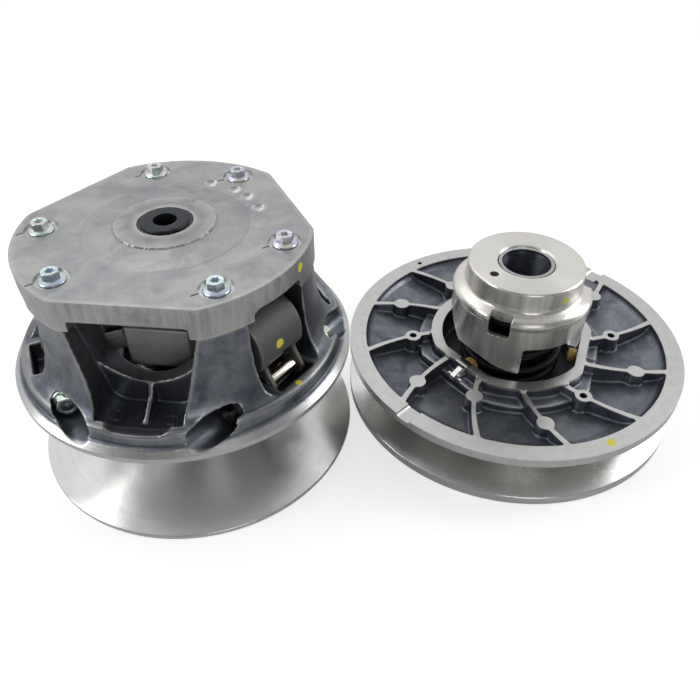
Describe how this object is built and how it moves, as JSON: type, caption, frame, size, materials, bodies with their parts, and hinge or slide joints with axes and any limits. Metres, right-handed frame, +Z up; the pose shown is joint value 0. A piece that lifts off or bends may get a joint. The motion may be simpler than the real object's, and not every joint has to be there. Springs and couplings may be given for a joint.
{
  "type": "cvt pulley set",
  "caption": "Belt variator drive and driven pulleys: flyweight-shifted drive clutch beside a torque-sensing driven clutch with a cam cup.",
  "frame": {"origin": "centre of the overall box in plan, on the level both pulleys stand on", "axes": "+Z up along both pulley axes, +X from the drive pulley to the driven pulley, +Y completes a right-handed frame"},
  "size_m": [0.405, 0.2112, 0.1438],
  "materials": {
    "drive_fixed_sheave": "machined",
    "drive_moving_sheave": "as cast",
    "drive_cover": "as cast",
    "dark_steel": "oiled",
    "polished_steel": "polished",
    "zinc": "zinc plated",
    "black_steel": "black",
    "grey_steel": "matte",
    "bronze": "satin",
    "amber_plastic": "matte",
    "spring_steel": "satin",
    "driven_fixed_sheave": "machined",
    "driven_moving_sheave": "as cast",
    "helix_cup": "satin"
  },
  "bodies": {
    "drive_hub": {"drive_fixed_sheave": "drive_fixed_sheave", "drive_post": "dark_steel", "idler_washer": "grey_steel", "spider": "dark_steel", "spider_jam_nut": "black_steel", "drive_spring": "spring_steel", "roller_pin_1": "grey_steel", "roller_pin_2": "grey_steel", "roller_pin_3": "grey_steel"},
    "idler": {"belt_idler_bearing": "dark_steel"},
    "drive_moving": {"drive_moving_sheave": "drive_moving_sheave", "drive_sheave_bushing": "bronze", "drive_cover": "drive_cover", "cover_bushing": "bronze", "cover_bolt_1": "zinc", "cover_bolt_2": "zinc", "cover_bolt_3": "zinc", "cover_bolt_4": "zinc", "cover_bolt_5": "zinc", "cover_bolt_6": "zinc", "weight_bolt_1": "black_steel", "weight_nut_1": "zinc", "weight_sleeve_1": "polished_steel", "weight_bolt_2": "black_steel", "weight_nut_2": "zinc", "weight_sleeve_2": "polished_steel", "weight_bolt_3": "black_steel", "weight_nut_3": "zinc", "weight_sleeve_3": "polished_steel"},
    "weight_1": {"flyweight_1": "grey_steel"},
    "spider_wheel_1": {"spider_roller_1": "polished_steel"},
    "weight_2": {"flyweight_2": "grey_steel"},
    "spider_wheel_2": {"spider_roller_2": "polished_steel"},
    "weight_3": {"flyweight_3": "grey_steel"},
    "spider_wheel_3": {"spider_roller_3": "polished_steel"},
    "driven_hub": {"driven_fixed_sheave": "driven_fixed_sheave", "driven_post": "dark_steel", "helix_cup": "helix_cup", "driven_snap_ring": "polished_steel"},
    "driven_swivel": {"driven_spring_washer": "grey_steel"},
    "driven_moving": {"driven_moving_sheave": "driven_moving_sheave", "driven_bushing": "bronze", "driven_spring": "spring_steel", "hub_clip": "polished_steel", "cam_roller_pin_1": "grey_steel", "cam_roller_pin_2": "grey_steel", "cam_roller_pin_3": "grey_steel"},
    "cam_wheel_1": {"cam_roller_1": "amber_plastic"},
    "cam_wheel_2": {"cam_roller_2": "amber_plastic"},
    "cam_wheel_3": {"cam_roller_3": "amber_plastic"}
  },
  "joints": [
    {"name": "drive_shift", "type": "slide", "parent": "drive_hub", "child": "drive_moving", "axis": [0, 0, -1], "range_m": [0, 0.026], "stiffness_N_per_m": 1500, "springref_m": -0.02, "deforming": ["drive_spring"]},
    {"name": "weight_1_swing", "type": "hinge", "parent": "drive_moving", "child": "weight_1", "pos_m": [-0.08872, 0.0689, 0.0746], "axis": [-0.9664, 0.2571, 0], "range_deg": [0, 28]},
    {"name": "spider_wheel_1_spin", "type": "hinge", "parent": "drive_hub", "child": "spider_wheel_1", "pos_m": [-0.09419, 0.04832, 0.084], "axis": [-0.9664, 0.2571, 0], "continuous": true},
    {"name": "weight_2_swing", "type": "hinge", "parent": "drive_moving", "child": "weight_2", "pos_m": [-0.17589, -0.01857, 0.0746], "axis": [0.2605, -0.9655, 0], "range_deg": [0, 28]},
    {"name": "spider_wheel_2_spin", "type": "hinge", "parent": "drive_hub", "child": "spider_wheel_2", "pos_m": [-0.15532, -0.01303, 0.084], "axis": [0.2605, -0.9655, 0], "continuous": true},
    {"name": "weight_3_swing", "type": "hinge", "parent": "drive_moving", "child": "weight_3", "pos_m": [-0.05655, -0.05033, 0.0746], "axis": [0.7059, 0.7083, 0], "range_deg": [0, 28]},
    {"name": "spider_wheel_3_spin", "type": "hinge", "parent": "drive_hub", "child": "spider_wheel_3", "pos_m": [-0.07163, -0.03529, 0.084], "axis": [0.7059, 0.7083, 0], "continuous": true},
    {"name": "idler_spin", "type": "hinge", "parent": "drive_hub", "child": "idler", "pos_m": [-0.10705, 0, 0.03], "axis": [0, 0, 1], "continuous": true},
    {"name": "driven_spin", "type": "hinge", "parent": "drive_hub", "child": "driven_hub", "pos_m": [0.09695, 0, 0], "axis": [0, 0, 1], "continuous": true},
    {"name": "driven_shift", "type": "slide", "parent": "driven_swivel", "child": "driven_moving", "axis": [0, 0, 1], "range_m": [0, 0.021], "stiffness_N_per_m": 1500, "springref_m": -0.02, "deforming": ["driven_spring"]},
    {"name": "driven_turn", "type": "hinge", "parent": "driven_hub", "child": "driven_swivel", "pos_m": [0.09695, 0, 0.04], "axis": [0, 0, 1], "range_deg": [-36.35, 0]},
    {"name": "cam_wheel_1_spin", "type": "hinge", "parent": "driven_moving", "child": "cam_wheel_1", "pos_m": [0.13034, -0.02014, 0.0336], "axis": [0.8563, -0.5165, 0], "continuous": true},
    {"name": "cam_wheel_2_spin", "type": "hinge", "parent": "driven_moving", "child": "cam_wheel_2", "pos_m": [0.0977, 0.03899, 0.0336], "axis": [0.0192, 0.9998, 0], "continuous": true},
    {"name": "cam_wheel_3_spin", "type": "hinge", "parent": "driven_moving", "child": "cam_wheel_3", "pos_m": [0.06281, -0.01885, 0.0336], "axis": [-0.8755, -0.4833, 0], "continuous": true}
  ],
  "couplings": [
    {"joint": "weight_1_swing", "follows": "drive_shift", "rad_per_m": 18.796},
    {"joint": "weight_2_swing", "follows": "drive_shift", "rad_per_m": 18.796},
    {"joint": "weight_3_swing", "follows": "drive_shift", "rad_per_m": 18.796},
    {"joint": "driven_turn", "follows": "driven_shift", "rad_per_m": -30.208}
  ]
}
